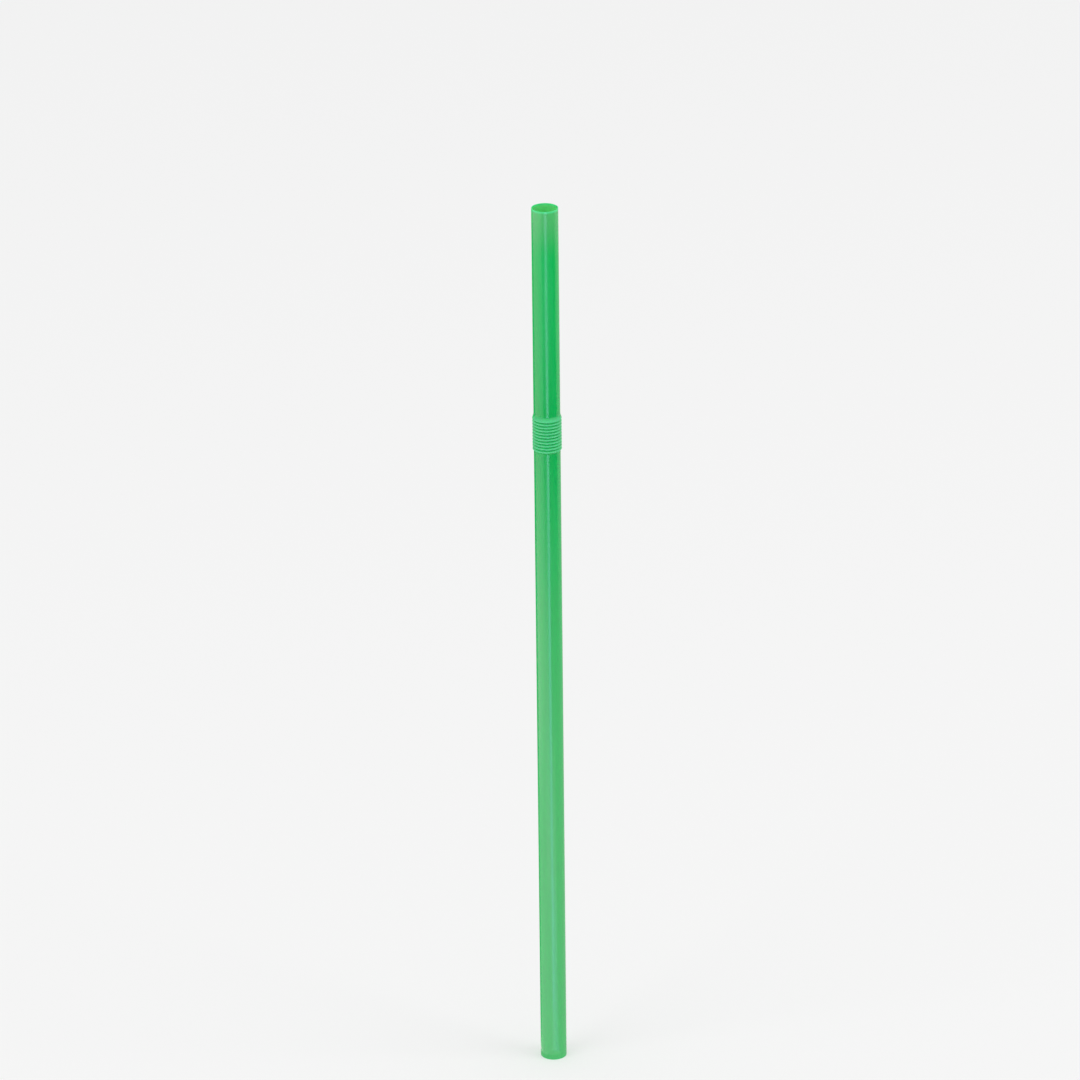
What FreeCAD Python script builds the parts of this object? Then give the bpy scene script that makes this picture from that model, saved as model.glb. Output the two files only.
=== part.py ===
import FreeCAD, Part
import math
import os

import Sketcher
from FreeCAD import Vector

# A flexible drinking straw: one extruded tube of thin polypropylene whose wall is
# folded, near the mouth end, into a closed-up bellows that lets the tip be bent.
# It stands on its foot end, the end that goes into the drink, with the origin in
# the middle of that end and +Z up to the mouth end. Its wall is drawn in sections,
# x out from the centre line and y up, and each is turned once round that line.

# Driving dimensions, in millimetres (fold_count is a number of folds).
DRIVING_SIZES = {
    "straw_length": 210.0,  # end to end, with the bellows closed up
    "tube_diameter": 6.0,  # outside of the plain tube
    "wall": 0.16,  # wall of the whole straw
    "mouth_length": 48.6,  # plain tube between the mouth end and the shoulder
    "shoulder_length": 1.2,  # flare from the plain tube down to the first crest
    "shoulder_radius": 1.5,  # hollow bend at the start of that flare
    "fold_count": 11,  # crests in the bellows
    "fold_pitch": 0.73,  # from one crest to the next, closed up
    "fold_rise": 0.30,  # how far a crest stands proud of the plain tube
    "fold_depth": 0.56,  # from the corner inside a crest in to the corner outside a root
    "fold_droop": 0.06,  # how far a root's corner lies below its own crest's
    "tuck_length": 0.50,  # from the last root down to the bend into the foot tube
    "tuck_bend": 0.20,  # inside radius of that bend
}

# The wall's two surfaces, and the two ways it can turn. A crest's turn is the wider
# one on the outside of the straw, and a root's is the wider one on the bore's side.
OUTSIDE = CREST = 1
BORE = ROOT = -1

# Formulas of the spreadsheet for how far out things lie, and how many folds repeat.
TUBE_MIDDLE = "Sizes.tube_diameter / 2 - Sizes.wall / 2"
CREST_CORNER = "Sizes.tube_diameter / 2 + Sizes.fold_rise - Sizes.wall"
ROOT_CORNER = CREST_CORNER + " - Sizes.fold_depth"
FLANK_MIDDLE = CREST_CORNER + " - Sizes.fold_depth / 2"
REPEATS = "(Sizes.fold_count - 1)"


def crest_height(fold):
    """How high up a fold's crest lies. Fold 0 is the one nearest the mouth."""
    first = "Sizes.straw_length - Sizes.mouth_length - Sizes.shoulder_length"
    return f"{first} - {fold} * Sizes.fold_pitch"


def station(kind, name, out, up, **facts):
    """A place that the wall runs past: an end, a flank's middle, a bend or a corner."""
    return {"kind": kind, "name": name, "out": out, "up": up, **facts}


def crest(fold):
    return station("corner", "crest", CREST_CORNER, crest_height(fold), turn=CREST)


def root(fold):
    height = crest_height(fold) + " - Sizes.fold_droop"
    return station("corner", "root", ROOT_CORNER, height, turn=ROOT)


def flank(name, fold):
    """Half way between a fold's root and its crest, where one section meets the next."""
    height = crest_height(fold) + " - Sizes.fold_droop / 2"
    return station("flank", name, FLANK_MIDDLE, height)


def bind(sketch, name, formula, constraint):
    """Adds a dimension to the sketch, driven by a formula of the spreadsheet."""
    number = sketch.addConstraint(constraint)
    sketch.renameConstraint(number, name)
    sketch.setExpression(f"Constraints.{name}", formula)


def mark(sketch, stations):
    """Marks each station with a point that the spreadsheet holds in its place."""
    for place in stations:
        point = sketch.addGeometry(Part.Point(Vector(1, 1, 0)), True)
        out = Sketcher.Constraint("DistanceX", -1, 1, point, 1, 1.0)
        up = Sketcher.Constraint("DistanceY", -1, 1, point, 1, 1.0)
        bind(sketch, place["name"] + "_out", place["out"], out)
        bind(sketch, place["name"] + "_up", place["up"], up)
        place["point"] = point
    sketch.Document.recompute()
    for place in stations:
        place["centre"] = sketch.getPoint(place["point"], 1)


def left_of(heading):
    return Vector(-math.sin(heading), math.cos(heading), 0)


def follow(sheet, stations):
    """Follows the middle of the wall up past its stations: its radius round each, signed
    by the way it turns, and its heading on each straight stretch between two of them."""
    radii = []
    for place in stations:
        inside = getattr(sheet, place["inside"]) if "inside" in place else 0.0
        radii.append(place.get("turn", 0) * (inside + sheet.wall / 2))
    headings = []
    for k in range(len(stations) - 1):
        gap = stations[k + 1]["centre"] - stations[k]["centre"]
        swing = math.asin((radii[k + 1] - radii[k]) / gap.Length)
        headings.append(math.atan2(gap.y, gap.x) - swing)
    return radii, headings


def line_end(place, heading, radius):
    """Where a surface's straight stretch ends at a station that it passes at a radius."""
    touch = place["centre"] - left_of(heading) * radius
    if place["kind"] != "corner":
        return touch
    onward = radius * (1 - math.sin(heading)) / math.cos(heading)
    return touch + Vector(math.cos(heading), math.sin(heading), 0) * onward


def draw_bend(sketch, place, side, radius, headings, lines):
    """Joins two lines of a surface by an arc, tangent to both."""
    quarter = math.copysign(math.pi / 2, -radius)
    sweep = sorted(heading + quarter for heading in headings)
    circle = Part.Circle(place["centre"], Vector(0, 0, 1), abs(radius))
    arc = sketch.addGeometry(Part.ArcOfCircle(circle, *sweep), False)
    first, last = (1, 2) if headings[1] > headings[0] else (2, 1)
    sketch.addConstraint(Sketcher.Constraint("Tangent", lines[0], 2, arc, first))
    sketch.addConstraint(Sketcher.Constraint("Tangent", arc, last, lines[1], 1))
    sketch.addConstraint(Sketcher.Constraint("Coincident", arc, 3, place["point"], 1))
    formula = "Sizes." + place["inside"]
    if place["turn"] == side:
        formula += " + Sizes.wall"
    size = Sketcher.Constraint("Radius", arc, abs(radius))
    bind(sketch, f"{place['name']}_radius_{arc}", formula, size)


def draw_corner(sketch, place, side, wall, lines):
    """Joins two lines of a surface at a fold: in a sharp corner on the fold's inside, and
    by a narrow band, one wall away, on its outside."""
    point = place["point"]
    if place["turn"] != side:
        sketch.addConstraint(Sketcher.Constraint("Coincident", lines[0], 2, point, 1))
        sketch.addConstraint(Sketcher.Constraint("Coincident", lines[1], 1, point, 1))
        return
    ends = (sketch.getPoint(lines[0], 2), sketch.getPoint(lines[1], 1))
    band = sketch.addGeometry(Part.LineSegment(*ends), False)
    sketch.addConstraint(Sketcher.Constraint("Coincident", lines[0], 2, band, 1))
    sketch.addConstraint(Sketcher.Constraint("Coincident", band, 2, lines[1], 1))
    sketch.addConstraint(Sketcher.Constraint("Vertical", band))
    nearer, farther = (point, band) if side == OUTSIDE else (band, point)
    thickness = Sketcher.Constraint("DistanceX", nearer, 1, farther, 1, wall)
    bind(sketch, place["name"] + "_wall", "Sizes.wall", thickness)


def draw_surface(sketch, wall, stations, route, side):
    """Draws one surface of the wall, and gives its straight lines."""
    radii = [radius + side * wall / 2 for radius in route[0]]
    headings = route[1]
    lines = []
    for k, heading in enumerate(headings):
        start = line_end(stations[k], heading, radii[k])
        end = line_end(stations[k + 1], heading, radii[k + 1])
        lines.append(sketch.addGeometry(Part.LineSegment(start, end), False))
    for k in range(1, len(headings)):
        place, pair = stations[k], lines[k - 1 : k + 1]
        if place["kind"] == "bend":
            draw_bend(sketch, place, side, radii[k], headings[k - 1 : k + 1], pair)
        else:
            draw_corner(sketch, place, side, wall, pair)
    return lines


def hold_stretch(sketch, wall, ends, outer_line, bore_line):
    """Keeps a straight stretch one wall thick, where what it runs between doesn't."""
    kinds = [place["kind"] for place in ends]
    if "corner" not in kinds:
        return
    if "flank" not in kinds:
        sketch.addConstraint(Sketcher.Constraint("Parallel", outer_line, bore_line))
    if "bend" not in kinds:
        corner = ends[kinds.index("corner")]
        far_line = outer_line if corner["turn"] == CREST else bore_line
        thickness = Sketcher.Constraint("Distance", corner["point"], 1, far_line, wall)
        bind(sketch, f"{ends[0]['name']}_to_{ends[1]['name']}", "Sizes.wall", thickness)


def close_section(sketch, place, outer_line, bore_line, end):
    """Closes the section straight across the wall, through an end or a flank's middle."""
    corners = [sketch.getPoint(line, end) for line in (outer_line, bore_line)]
    cut = sketch.addGeometry(Part.LineSegment(*corners), False)
    middle = place["point"]
    sketch.addConstraint(Sketcher.Constraint("Coincident", cut, 1, outer_line, end))
    sketch.addConstraint(Sketcher.Constraint("Coincident", cut, 2, bore_line, end))
    if place["kind"] == "flank":
        sketch.addConstraint(Sketcher.Constraint("Symmetric", cut, 1, cut, 2, middle, 1))
        sketch.addConstraint(Sketcher.Constraint("Perpendicular", cut, outer_line))
        sketch.addConstraint(Sketcher.Constraint("Perpendicular", cut, bore_line))
    else:
        sketch.addConstraint(Sketcher.Constraint("PointOnObject", middle, 1, cut))
        sketch.addConstraint(Sketcher.Constraint("Horizontal", cut))
        sketch.addConstraint(Sketcher.Constraint("Vertical", outer_line))
        sketch.addConstraint(Sketcher.Constraint("Vertical", bore_line))


def turn_section(body, sheet, name, stations):
    """Draws a closed section of wall past its stations and turns it round the centre line."""
    sketch = body.newObject("Sketcher::SketchObject", name + "Section")
    plane = [f for f in body.Origin.OriginFeatures if f.Role == "XZ_Plane"][0]
    sketch.AttachmentSupport = [(plane, "")]
    sketch.MapMode = "FlatFace"
    mark(sketch, stations)
    route = follow(sheet, stations)
    outside = draw_surface(sketch, sheet.wall, stations, route, OUTSIDE)
    bore = draw_surface(sketch, sheet.wall, stations, route, BORE)
    for k, lines in enumerate(zip(outside, bore)):
        hold_stretch(sketch, sheet.wall, stations[k : k + 2], *lines)
    close_section(sketch, stations[0], outside[0], bore[0], 1)
    close_section(sketch, stations[-1], outside[-1], bore[-1], 2)
    turned = body.newObject("PartDesign::Revolution", name)
    turned.Profile = sketch
    turned.ReferenceAxis = (sketch, ["V_Axis"])
    turned.Angle = 360
    body.Document.recompute()
    return sketch, turned


def make_straw(doc, sheet):
    """The straw, from its foot up: foot tube, folds (made once and repeated), mouth tube."""
    body = doc.addObject("PartDesign::Body", "Straw")
    body.Label = "straw"

    foot_end = station("end", "foot_end", TUBE_MIDDLE, "0")
    mouth_end = station("end", "mouth_end", TUBE_MIDDLE, "Sizes.straw_length")
    tuck = station(
        "bend",
        "tuck",
        "Sizes.tube_diameter / 2 - Sizes.wall - Sizes.tuck_bend",
        root(REPEATS)["up"] + " - Sizes.tuck_length",
        turn=CREST,
        inside="tuck_bend",
    )
    shoulder = station(
        "bend",
        "shoulder",
        "Sizes.tube_diameter / 2 + Sizes.shoulder_radius",
        "Sizes.straw_length - Sizes.mouth_length",
        turn=ROOT,
        inside="shoulder_radius",
    )
    foot_stations = [foot_end, tuck, root(REPEATS), flank("flank", REPEATS)]
    fold_stations = [flank("lower_flank", 1), crest(1), root(0), flank("upper_flank", 0)]
    mouth_stations = [flank("flank", 0), crest(0), shoulder, mouth_end]

    turn_section(body, sheet, "MouthTube", mouth_stations)
    fold_section, fold = turn_section(body, sheet, "Fold", fold_stations)
    folds = body.newObject("PartDesign::LinearPattern", "Folds")
    folds.Originals = [fold]
    folds.Direction = (fold_section, ["V_Axis"])
    folds.Reversed = True
    folds.setExpression("Occurrences", REPEATS)
    folds.setExpression("Length", f"({REPEATS} - 1) * Sizes.fold_pitch")
    body.Tip = folds
    doc.recompute()
    turn_section(body, sheet, "FootTube", foot_stations)
    return body


doc = FreeCAD.newDocument("FlexibleStraw")
sheet = doc.addObject("Spreadsheet::Sheet", "Sizes")
for row, (alias, size) in enumerate(DRIVING_SIZES.items(), start=1):
    sheet.set(f"A{row}", alias)
    sheet.set(f"B{row}", str(size))
    sheet.setAlias(f"B{row}", alias)
doc.recompute()

straw = make_straw(doc, sheet)
doc.recompute()

for item in doc.Objects:
    if {"Invalid", "Error"} & set(item.State):
        raise RuntimeError(f"{item.Label} did not build: {item.State}")
if straw.Shape.isNull() or not straw.Shape.isValid() or len(straw.Shape.Solids) != 1:
    raise RuntimeError("the straw is not one valid solid")

os.makedirs("parts", exist_ok=True)
straw.Shape.exportStep(f"parts/{straw.Label}.step")
box = straw.Shape.optimalBoundingBox(False)
print(f"straw {box.XLength:.2f} x {box.YLength:.2f} x {box.ZLength:.2f} mm")
print(f"lowest point {box.ZMin:.4f} mm, volume {straw.Shape.Volume:.1f} mm3")
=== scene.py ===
import math

import bpy
from mathutils import Matrix, Vector


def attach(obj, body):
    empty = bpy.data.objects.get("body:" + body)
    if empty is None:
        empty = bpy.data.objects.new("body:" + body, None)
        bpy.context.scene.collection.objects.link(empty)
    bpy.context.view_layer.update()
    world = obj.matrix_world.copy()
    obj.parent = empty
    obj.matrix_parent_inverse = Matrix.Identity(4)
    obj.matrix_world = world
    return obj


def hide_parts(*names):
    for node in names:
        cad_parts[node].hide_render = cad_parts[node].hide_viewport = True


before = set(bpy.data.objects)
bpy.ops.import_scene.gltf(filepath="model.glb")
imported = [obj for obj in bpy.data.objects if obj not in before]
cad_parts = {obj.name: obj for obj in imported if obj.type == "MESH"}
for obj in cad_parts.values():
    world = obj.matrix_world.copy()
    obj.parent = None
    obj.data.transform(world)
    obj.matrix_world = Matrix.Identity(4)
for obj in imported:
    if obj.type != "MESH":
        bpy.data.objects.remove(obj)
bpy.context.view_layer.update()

mm = 0.001
scene = bpy.context.scene


def setSocket(tree, socket, value):
    if isinstance(value, bpy.types.NodeSocket):
        tree.links.new(value, socket)
    else:
        socket.default_value = value


def addNode(tree, kind, inputs=(), **settings):
    node = tree.nodes.new(kind)
    for name, value in settings.items():
        setattr(node, name, value)
    for name, value in dict(inputs).items():
        setSocket(tree, node.inputs[name], value)
    return node


def maths(tree, operation, *values):
    node = addNode(tree, "ShaderNodeMath", operation=operation)
    for socket, value in zip(node.inputs, values):
        setSocket(tree, socket, value)
    return node.outputs[0]


cameraSettings = {
    "lens": 205.17,
    "sensor": 36,
    "clip": (0.05, 60),
    "aim": (-1.86 * mm, 0.0, 130.45 * mm),  # the point in the middle of the frame
    "distance": 1387.5 * mm,
    "pitch": 23.0,  # degrees down from level
    "roll": 0.65,  # degrees; the top of the straw leans a little to the left
}


def makeCamera(s):
    pitch = math.radians(s["pitch"])
    forward = Vector((0, math.cos(pitch), -math.sin(pitch)))
    roll = Matrix.Rotation(math.radians(-s["roll"]), 3, "Z").to_quaternion()
    data = bpy.data.cameras.new("camera")
    data.sensor_width = s["sensor"]
    data.lens = s["lens"]
    data.clip_start, data.clip_end = s["clip"]
    camera = bpy.data.objects.new("camera", data)
    camera.rotation_mode = "QUATERNION"
    camera.rotation_quaternion = forward.to_track_quat("-Z", "Y") @ roll
    camera.location = Vector(s["aim"]) - forward * s["distance"]
    scene.collection.objects.link(camera)
    scene.camera = camera


makeCamera(cameraSettings)
print("camera set")


plasticSettings = {
    "deepGreen": (0.001, 0.59, 0.137, 1),
    "milkyGreen": (0.004, 0.63, 0.19, 1),
    "floorLitGreen": (0.10, 0.65, 0.235, 1),  # painted floor-bounce light: paler towards the foot
    # painted light: paler near the open mouth, where light gets in
    "mouthLitGreen": (0.18, 0.55, 0.28, 1),
    # painted light inside the bore near the mouth
    "boreLitGreen": (0.30, 0.84, 0.42, 1),
    "whitenedAndLitGreen": (0.12, 0.90, 0.43, 1),  # folds turn paler, partly stress whitening and partly painted highlight; cut ends carry painted light
    "deepGlow": (0.003, 0.92, 0.24, 1),  # light that comes through the wall
    # painted floor-bounce light in the light through the wall, towards the foot
    "floorLitGlow": (0.12, 0.93, 0.24, 1),
    "glow": 0.40,  # how much of it does
    "shine": 1.0,  # both faces of the thin wall throw light back
    "ior": 1.49,
    # noises: scale, stretch along the straw, detail, roughness
    "clouds": (240, 0.11, 3.0, 0.55),  # long and soft, in the melt
    "drawLines": (1500, 0.012, 4.0, 0.6),  # fine lines along the tube, from the die
    "grain": (9000, 1.0, 2.0, 0.5),
    "grainRoughness": 0.06,
    "lineBump": (0.35, 0.02 * mm),  # strength, height
    "grainBump": (0.2, 0.006 * mm),
    # fades: where one starts and ends, then what it is there, or else 0 and 1
    "cloudMilk": (0.35, 0.68, 0.0, 0.62),
    "lineMilk": (0.4, 0.65, 0.0, 0.3),
    "cloudRoughness": (0.3, 0.7, 0.13, 0.24),
    "crest": (3.03 * mm, 3.27 * mm, 0.3, 0.85),  # out from the centre line; crests paler than roots, partly stress whitening and partly painted highlight
    # painted light inside the bore: which surface, then how it fades in towards the mouth
    "bore": (2.93 * mm, 2.87 * mm),
    "boreLitHeights": (165 * mm, 205 * mm),  # up from the foot end, as all below
    "foldsFoot": (152.3 * mm, 152.8 * mm),
    "foldsTop": (161.5 * mm, 161.0 * mm),
    # painted floor-bounce light, growing towards the foot
    "floorBounce": (150 * mm, 30 * mm, 0.0, 0.9),
    # painted light near the open mouth
    "mouth": (198 * mm, 209.5 * mm, 0.0, 0.7),
    # painted light at the cut ends, where light comes through the edge of the wall
    "mouthEdgeLight": (209.40 * mm, 209.90 * mm),
    "footEdgeLight": (0.20 * mm, 0.05 * mm),
}


def makePlastic(s):
    material = bpy.data.materials.new("strawPlastic")
    material.use_nodes = True
    tree = material.node_tree
    tree.nodes.clear()

    spot = addNode(tree, "ShaderNodeTexCoord").outputs["Object"]
    x, y, height = addNode(tree, "ShaderNodeSeparateXYZ", {"Vector": spot}).outputs
    around = addNode(tree, "ShaderNodeCombineXYZ", {"X": x, "Y": y}).outputs[0]
    length = addNode(tree, "ShaderNodeVectorMath", {0: around}, operation="LENGTH")
    fromAxis = length.outputs["Value"]

    def noise(name):
        scale, stretch, detail, roughness = s[name]
        mapping = {"Vector": spot, "Scale": (1, 1, stretch)}
        place = addNode(tree, "ShaderNodeMapping", mapping).outputs[0]
        inputs = {"Vector": place, "Scale": scale, "Detail": detail, "Roughness": roughness}
        return addNode(tree, "ShaderNodeTexNoise", inputs).outputs["Fac"]

    def fade(value, name):
        low, high, start, end = (*s[name], 0.0, 1.0)[:4]
        inputs = {"Value": value, "From Min": low, "From Max": high, "To Min": start, "To Max": end}
        node = addNode(tree, "ShaderNodeMapRange", inputs, interpolation_type="SMOOTHSTEP")
        return node.outputs[0]

    def blended(share, first, second):  # by number, because names repeat on a Mix node
        inputs = {0: share, 6: first, 7: second}
        return addNode(tree, "ShaderNodeMix", inputs, data_type="RGBA").outputs[2]

    def bumped(relief, name, under=None):
        strength, distance = s[name]
        inputs = {"Height": relief, "Strength": strength, "Distance": distance}
        if under:
            inputs["Normal"] = under
        return addNode(tree, "ShaderNodeBump", inputs).outputs[0]

    clouds, drawLines, grain = noise("clouds"), noise("drawLines"), noise("grain")
    milk = maths(tree, "ADD", fade(clouds, "cloudMilk"), fade(drawLines, "lineMilk"))
    # painted light on the inside wall near the mouth
    litBore = maths(tree, "MULTIPLY", fade(fromAxis, "bore"), fade(height, "boreLitHeights"))
    inFolds = maths(tree, "MULTIPLY", fade(height, "foldsFoot"), fade(height, "foldsTop"))
    # paler crests: partly stress whitening, partly painted highlight
    foldWhiteningAndHighlight = maths(tree, "MULTIPLY", fade(fromAxis, "crest"), inFolds)
    # painted light at both cut ends
    cutEdgeLight = maths(tree, "MAXIMUM", fade(height, "mouthEdgeLight"), fade(height, "footEdgeLight"))
    # paler folds and cut ends: stress whitening and painted light
    whiteningAndLight = maths(tree, "MAXIMUM", foldWhiteningAndHighlight, cutEdgeLight)
    # painted floor-bounce light: paler towards the foot
    floorBounce = fade(height, "floorBounce")

    colour = blended(milk, s["deepGreen"], s["milkyGreen"])
    colour = blended(floorBounce, colour, s["floorLitGreen"])
    # painted light near the open mouth
    colour = blended(fade(height, "mouth"), colour, s["mouthLitGreen"])
    colour = blended(litBore, colour, s["boreLitGreen"])
    # paler folds and cut ends: stress whitening and painted light
    colour = blended(whiteningAndLight, colour, s["whitenedAndLitGreen"])
    # painted floor-bounce light also in the light through the wall
    glow = blended(floorBounce, s["deepGlow"], s["floorLitGlow"])
    # the same stress whitening and painted light, in the light through the wall
    glow = blended(whiteningAndLight, glow, s["whitenedAndLitGreen"])
    grainRough = maths(tree, "MULTIPLY", grain, s["grainRoughness"])
    rough = maths(tree, "ADD", fade(clouds, "cloudRoughness"), grainRough)
    relief = bumped(grain, "grainBump", bumped(drawLines, "lineBump"))

    solid = addNode(tree, "ShaderNodeBsdfPrincipled", {
        "Base Color": colour,
        "Roughness": rough,
        "IOR": s["ior"],
        "Specular IOR Level": s["shine"],
        "Normal": relief,
    })
    through = addNode(tree, "ShaderNodeBsdfTranslucent", {"Color": glow, "Normal": relief})
    inputs = {0: s["glow"], 1: solid.outputs[0], 2: through.outputs[0]}
    both = addNode(tree, "ShaderNodeMixShader", inputs)
    addNode(tree, "ShaderNodeOutputMaterial", {"Surface": both.outputs[0]})
    return material


strawSettings = {
    "Length": 210.0 * mm,
    "Tube Diameter": 6.0 * mm,
    "Wall": 0.16 * mm,
    "Mouth Length": 48.6 * mm,
    "Shoulder Length": 1.2 * mm,
    "Shoulder Bend": 1.5 * mm,
    "Fold Count": 11,
    "Fold Pitch": 0.73 * mm,
    "Fold Rise": 0.30 * mm,
    "Fold Depth": 0.56 * mm,
    "Fold Droop": 0.06 * mm,
    "Fold Bend": 0.03 * mm,  # inside radius at a crest or a root
    "Tuck Length": 0.50 * mm,
    "Tuck Bend": 0.20 * mm,
    "Foot Rings": 60,
    "Mouth Rings": 30,
    "Bend Rings": 11,
    "Segments": 96,
    "Weld": 0.001 * mm,  # points this close become one
}
rimSettings = {
    "bevel": 0.025 * mm,
    "segments": 3,
    "sharpest": 70,  # degrees; edges that turn more than this are rounded
}


def makeLatheTree(settings):
    tree = bpy.data.node_groups.new("foldedTube", "GeometryNodeTree")
    for name, value in settings.items():
        kind = "NodeSocketInt" if isinstance(value, int) else "NodeSocketFloat"
        tree.interface.new_socket(name, in_out="INPUT", socket_type=kind)
    tree.interface.new_socket("Material", in_out="INPUT", socket_type="NodeSocketMaterial")
    tree.interface.new_socket("Geometry", in_out="OUTPUT", socket_type="NodeSocketGeometry")
    given = tree.nodes.new("NodeGroupInput").outputs

    def chained(operation, result, *others):
        for other in others:
            result = maths(tree, operation, result, other)
        return result

    def plus(*values):
        return chained("ADD", *values)

    def minus(*values):
        return chained("SUBTRACT", *values)

    def times(*values):
        return chained("MULTIPLY", *values)

    def over(*values):
        return chained("DIVIDE", *values)

    def either(share, usual, other):
        return plus(times(usual, minus(1.0, share)), times(other, share))

    def between(share, low, high):
        return plus(low, times(share, minus(high, low)))

    tubeRadius = over(given["Tube Diameter"], 2.0)
    halfWall = over(given["Wall"], 2.0)
    foldRings = times(given["Bend Rings"], 2.0)
    allFoldRings = times(foldRings, given["Fold Count"])
    # the tuck and the shoulder have as many rings as one more fold
    rings = plus(given["Foot Rings"], given["Mouth Rings"], allFoldRings, foldRings)
    points = times(rings, 2.0)

    # the section runs up along the outside, then down along the bore
    index = tree.nodes.new("GeometryNodeInputIndex").outputs[0]
    onBore = maths(tree, "GREATER_THAN", index, minus(rings, 0.5))
    step = either(onBore, index, minus(points, 1.0, index))
    surface = times(minus(1.0, times(onBore, 2.0)), halfWall)

    # each bend: how far out and how high it turns, and its middle line's radius, which is
    # less than 0 where the bend is hollow
    firstCrest = minus(given["Length"], given["Mouth Length"], given["Shoulder Length"])
    foldsBelow = minus(given["Fold Count"], 1.0)
    lowestCrest = minus(firstCrest, times(foldsBelow, given["Fold Pitch"]))
    inCrest = minus(plus(tubeRadius, given["Fold Rise"]), given["Wall"], given["Fold Bend"])
    outRoot = plus(minus(inCrest, given["Fold Depth"]), times(given["Fold Bend"], 2.0))
    lowestRoot = minus(lowestCrest, given["Fold Droop"])
    foldRadius = plus(given["Fold Bend"], halfWall)
    crest = (inCrest, lowestCrest, foldRadius)
    root = (outRoot, lowestRoot, times(foldRadius, -1.0))
    nextRoot = (outRoot, plus(lowestRoot, given["Fold Pitch"]), root[2])
    topCrest = (inCrest, firstCrest, foldRadius)
    tuck = (
        minus(tubeRadius, given["Wall"], given["Tuck Bend"]),
        minus(lowestRoot, given["Tuck Length"]),
        plus(given["Tuck Bend"], halfWall),
    )
    shoulder = (
        plus(tubeRadius, given["Shoulder Bend"]),
        minus(given["Length"], given["Mouth Length"]),
        times(plus(given["Shoulder Bend"], halfWall), -1.0),
    )

    def heading(here, there):  # of the straight wall between two bends
        out = minus(there[0], here[0])
        up = minus(there[1], here[1])
        gap = maths(tree, "SQRT", plus(times(out, out), times(up, up)))
        swing = maths(tree, "ARCSINE", over(minus(there[2], here[2]), gap))
        return minus(maths(tree, "ARCTAN2", up, out), swing)

    upright = math.pi / 2
    lip = heading(root, crest)
    flank = heading(crest, nextRoot)
    offTuck = heading(tuck, root)
    toShoulder = heading(topCrest, shoulder)

    def onTube(low, high, count):
        def rule(place):  # rings lie closer together towards both ends of a tube
            share = over(place, minus(count, 1.0))
            eased = times(share, share, minus(3.0, times(share, 2.0)))
            return plus(minus(tubeRadius, halfWall), surface), between(eased, low, high)
        return rule

    def onBend(bend, before, after, lift=0.0):
        def rule(place):
            share = over(place, minus(given["Bend Rings"], 1.0))
            turned = minus(between(share, before, after), upright)
            radius = plus(bend[2], surface)
            out = plus(bend[0], times(radius, maths(tree, "COSINE", turned)))
            up = plus(bend[1], times(radius, maths(tree, "SINE", turned)), lift)
            return out, up
        return rule

    def onFolds(place):
        fold = maths(tree, "FLOOR", over(plus(place, 0.5), foldRings))
        inFold = minus(place, times(fold, foldRings))
        lift = times(fold, given["Fold Pitch"])
        onCrest = maths(tree, "GREATER_THAN", inFold, minus(given["Bend Rings"], 0.5))
        firstFold = maths(tree, "LESS_THAN", fold, 0.5)
        lastFold = maths(tree, "GREATER_THAN", fold, minus(foldsBelow, 0.5))
        intoRoot = either(firstFold, flank, offTuck)
        outOfCrest = either(lastFold, flank, toShoulder)
        atRoot = onBend(root, intoRoot, lip, lift)(inFold)
        atCrest = onBend(crest, lip, outOfCrest, lift)(minus(inFold, given["Bend Rings"]))
        return [either(onCrest, *pair) for pair in zip(atRoot, atCrest)]

    line = addNode(tree, "GeometryNodeCurvePrimitiveLine").outputs[0]
    inputs = {"Curve": line, "Count": points}
    line = addNode(tree, "GeometryNodeResampleCurve", inputs).outputs[0]
    start = 0.0
    for rule, count in (
        (onTube(0.0, tuck[1], given["Foot Rings"]), given["Foot Rings"]),
        (onBend(tuck, upright, offTuck), given["Bend Rings"]),
        (onFolds, allFoldRings),
        (onBend(shoulder, toShoulder, upright), given["Bend Rings"]),
        (onTube(shoulder[1], given["Length"], given["Mouth Rings"]), given["Mouth Rings"]),
    ):
        place = minus(step, start)
        pastStart = maths(tree, "GREATER_THAN", place, -0.5)
        beforeEnd = maths(tree, "LESS_THAN", place, minus(count, 0.5))
        out, up = rule(place)
        inputs = {"X": minus(out, tubeRadius), "Y": times(up, -1.0)}
        spot = addNode(tree, "ShaderNodeCombineXYZ", inputs).outputs[0]
        inputs = {"Geometry": line, "Selection": times(pastStart, beforeEnd), "Position": spot}
        line = addNode(tree, "GeometryNodeSetPosition", inputs).outputs[0]
        start = plus(start, count)

    # the section is closed, and turned once round the centre line
    inputs = {"Geometry": line, "Cyclic": True}
    section = addNode(tree, "GeometryNodeSetSplineCyclic", inputs).outputs[0]
    inputs = {"Resolution": given["Segments"], "Radius": tubeRadius}
    circle = addNode(tree, "GeometryNodeCurvePrimitiveCircle", inputs).outputs[0]
    inputs = {"Curve": circle, "Profile Curve": section}
    turned = addNode(tree, "GeometryNodeCurveToMesh", inputs).outputs[0]
    inputs = {"Geometry": turned, "Distance": given["Weld"]}
    turned = addNode(tree, "GeometryNodeMergeByDistance", inputs).outputs[0]
    turned = addNode(tree, "GeometryNodeFlipFaces", {"Mesh": turned}).outputs[0]
    inputs = {"Geometry": turned, "Shade Smooth": True}
    turned = addNode(tree, "GeometryNodeSetShadeSmooth", inputs).outputs[0]
    turned = addNode(tree, "GeometryNodeRealizeInstances", {"Geometry": turned}).outputs[0]
    inputs = {"Geometry": turned, "Material": given["Material"]}
    turned = addNode(tree, "GeometryNodeSetMaterial", inputs).outputs[0]
    addNode(tree, "NodeGroupOutput", {"Geometry": turned})
    return tree


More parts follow.
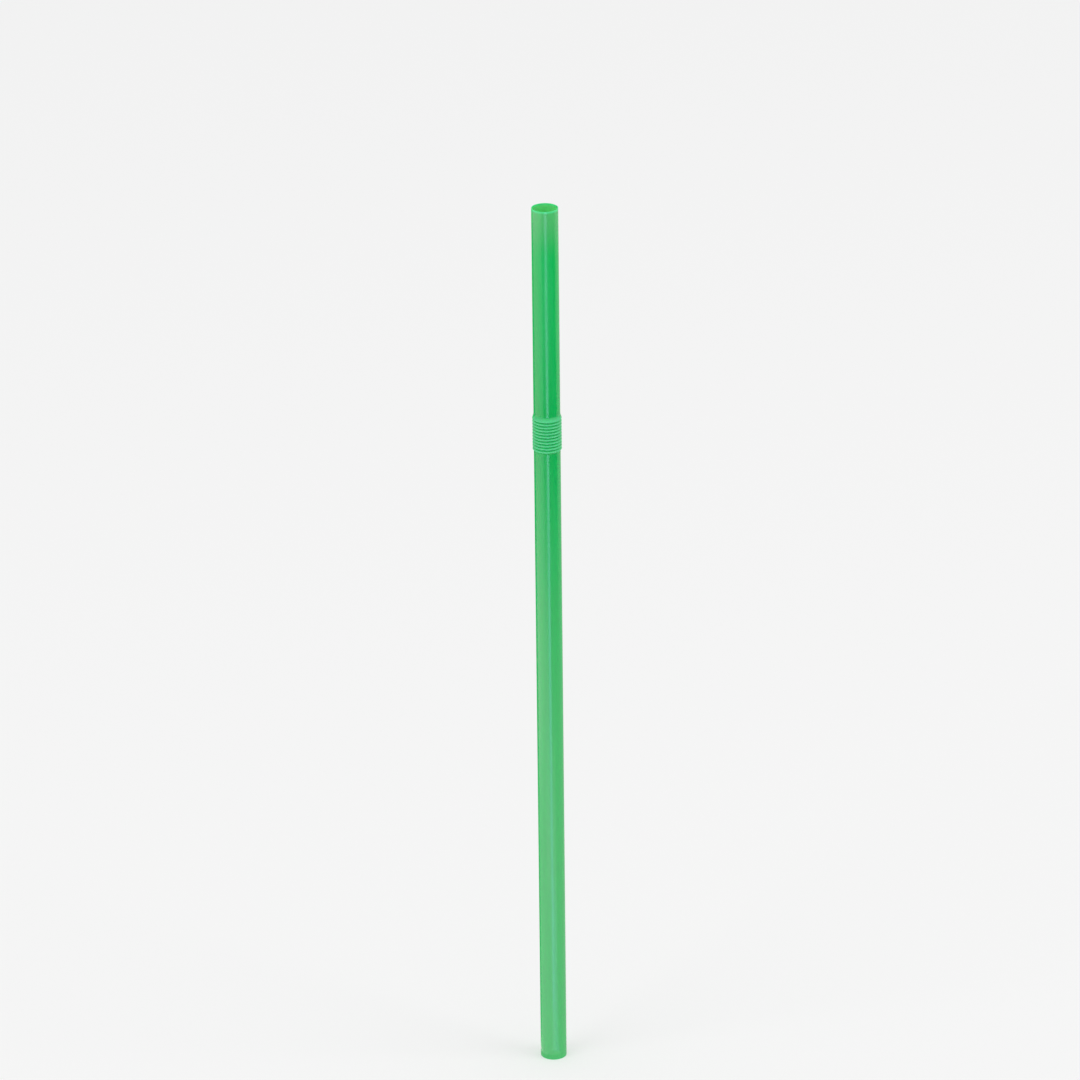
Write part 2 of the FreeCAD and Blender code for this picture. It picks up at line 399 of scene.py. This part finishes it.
def plainMesh(worker, name):
    graph = bpy.context.evaluated_depsgraph_get()
    mesh = bpy.data.meshes.new_from_object(worker.evaluated_get(graph), depsgraph=graph)
    mesh.name = name
    piece = bpy.data.objects.new(name, mesh)
    scene.collection.objects.link(piece)
    bpy.data.objects.remove(worker)
    return piece


def makeStraw(settings, rims, plastic):
    worker = bpy.data.objects.new("strawWorker", bpy.data.meshes.new("strawWorker"))
    scene.collection.objects.link(worker)
    tree = makeLatheTree(settings)
    lathe = worker.modifiers.new("lathe", "NODES")
    lathe.node_group = tree
    sockets = [item for item in tree.interface.items_tree if item.in_out == "INPUT"]
    values = {**settings, "Material": plastic}
    for socket in sockets:
        lathe[socket.identifier] = values[socket.name]
    bevel = worker.modifiers.new("rims", "BEVEL")
    bevel.width = rims["bevel"]
    bevel.segments = rims["segments"]
    bevel.limit_method = "ANGLE"
    bevel.angle_limit = math.radians(rims["sharpest"])
    return plainMesh(worker, "flexibleStraw")


plastic = makePlastic(plasticSettings)
straw = makeStraw(strawSettings, rimSettings, plastic)
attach(straw, "root")
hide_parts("straw")
print("straw made")


stageSettings = {
    "floorSize": 8.0,
    "floorColour": (0.93, 0.93, 0.93, 1),
    "floorRoughness": 0.9,
    "floorGlow": 0.4,
    "white": 0.95,  # the backdrop as the camera sees it, short of clipping
    "worldLight": 0.78,
    "cardSlices": 24,
    "cardStep": 0.2 * mm,  # each card lies this much above the one before
}
cardSettings = {
    # name: first and last angle from the camera's side round to its right, near and far
    # edge from the straw, brightness in red, green and blue
    "darkCard": (-32, 92, 0.30, 2.0, (0.0, 0.0, 0.0)),
    "backCard": (-180, -122, 0.004, 1.0, (0.10, 0.65, 0.25)),
    "bounceCard": (-123, -35, 0.004, 0.32, (2.3, 2.1, 2.2)),
    "nearCard": (-90, 40, 0.004, 0.17, (1.6, 1.4, 1.6)),
    "seamCard": (-45, -8, 0.09, 0.31, (2.1, 1.5, 2.1)),
    "sideCard": (-123, -85, 0.004, 0.16, (1.3, 1.6, 1.4)),
    "topCard": (-123, -60, 0.32, 0.8, (1.4, 1.05, 1.3)),
    "skyCard": (13, 36, 0.004, 0.09, (1.7, 1.5, 2.6)),
    "stripFoot": (-5, 13, 0.004, 0.025, (2.2, 2.2, 2.9)),
    "stripCard": (-5, 13, 0.025, 0.7, (2.2, 2.2, 4.1)),
}
lampSettings = {
    # name: place, aim, width, height, watts
    "key": ((-2.0, -1.5, 1.8), (0, 0, 0.1), 1.8, 2.4, 17.5),
    "fill": ((1.8, -0.6, 1.5), (0, 0, 0.1), 1.2, 1.6, 10.0),
}


def seenDirectly(tree):  # 1 for what the camera sees, also in gloss or through the plastic
    rays = addNode(tree, "ShaderNodeLightPath").outputs
    seen = maths(tree, "MAXIMUM", rays["Is Camera Ray"], rays["Is Glossy Ray"])
    return maths(tree, "MAXIMUM", seen, rays["Is Transmission Ray"])


def makeStagePiece(name, corners, faces, material):
    mesh = bpy.data.meshes.new(name)
    mesh.from_pydata(corners, [], faces)
    mesh.materials.append(material)
    piece = bpy.data.objects.new(name, mesh)
    scene.collection.objects.link(piece)
    return piece


def makeFloor(s):
    material = bpy.data.materials.new("paleFloor")
    material.use_nodes = True
    tree = material.node_tree
    surface = tree.nodes["Principled BSDF"]
    surface.inputs["Base Color"].default_value = s["floorColour"]
    surface.inputs["Roughness"].default_value = s["floorRoughness"]
    surface.inputs["Specular IOR Level"].default_value = 0.0
    inputs = {"Color": (1, 1, 1, 1), "Strength": s["white"]}
    glow = addNode(tree, "ShaderNodeEmission", inputs).outputs[0]
    share = maths(tree, "MULTIPLY", seenDirectly(tree), s["floorGlow"])
    inputs = {0: share, 1: surface.outputs[0], 2: glow}
    both = addNode(tree, "ShaderNodeMixShader", inputs).outputs[0]
    tree.links.new(both, tree.nodes["Material Output"].inputs["Surface"])
    half = s["floorSize"] / 2
    corners = [(-half, -half, 0), (half, -half, 0), (half, half, 0), (-half, half, 0)]
    makeStagePiece("floor", corners, [(0, 1, 2, 3)], material)


def makeCards(cards, s):  # they lie on the floor, and only the straw's gloss sees them
    slices = s["cardSlices"]
    for level, (name, (first, last, near, far, shade)) in enumerate(cards.items(), start=1):
        material = bpy.data.materials.new(name)
        material.use_nodes = True
        tree = material.node_tree
        tree.nodes.clear()
        inputs = {"Color": (*shade, 1), "Strength": 1.0}
        light = addNode(tree, "ShaderNodeEmission", inputs).outputs[0]
        addNode(tree, "ShaderNodeOutputMaterial", {"Surface": light})
        corners, faces = [], []
        for k in range(slices + 1):
            angle = math.radians(first + (last - first) * k / slices)
            out, back = math.sin(angle), -math.cos(angle)
            for radius in (near, far):
                corners.append((radius * out, radius * back, level * s["cardStep"]))
            if k:
                faces.append((2 * k - 2, 2 * k - 1, 2 * k + 1, 2 * k))
        card = makeStagePiece(name, corners, faces, material)
        card.visible_camera = card.visible_diffuse = False
        card.visible_shadow = card.visible_transmission = False


def makeWorld(s):
    world = bpy.data.worlds.new("studio")
    scene.world = world
    world.use_nodes = True
    tree = world.node_tree
    tree.nodes.clear()
    inputs = {"Value": seenDirectly(tree), "To Min": s["worldLight"], "To Max": s["white"]}
    strength = addNode(tree, "ShaderNodeMapRange", inputs).outputs[0]
    inputs = {"Color": (1, 1, 1, 1), "Strength": strength}
    light = addNode(tree, "ShaderNodeBackground", inputs).outputs[0]
    addNode(tree, "ShaderNodeOutputWorld", {"Surface": light})


def makeLamps(lamps):
    for name, (place, aim, width, height, watts) in lamps.items():
        data = bpy.data.lights.new(name, "AREA")
        data.shape = "RECTANGLE"
        data.size, data.size_y = width, height
        data.energy = watts
        lamp = bpy.data.objects.new(name, data)
        lamp.location = place
        lamp.rotation_mode = "QUATERNION"
        lamp.rotation_quaternion = (Vector(aim) - Vector(place)).to_track_quat("-Z", "Y")
        lamp.visible_camera = False
        scene.collection.objects.link(lamp)


makeFloor(stageSettings)
makeCards(cardSettings, stageSettings)
makeWorld(stageSettings)
makeLamps(lampSettings)
scene.view_settings.view_transform = "Standard"
print("floor and light set")
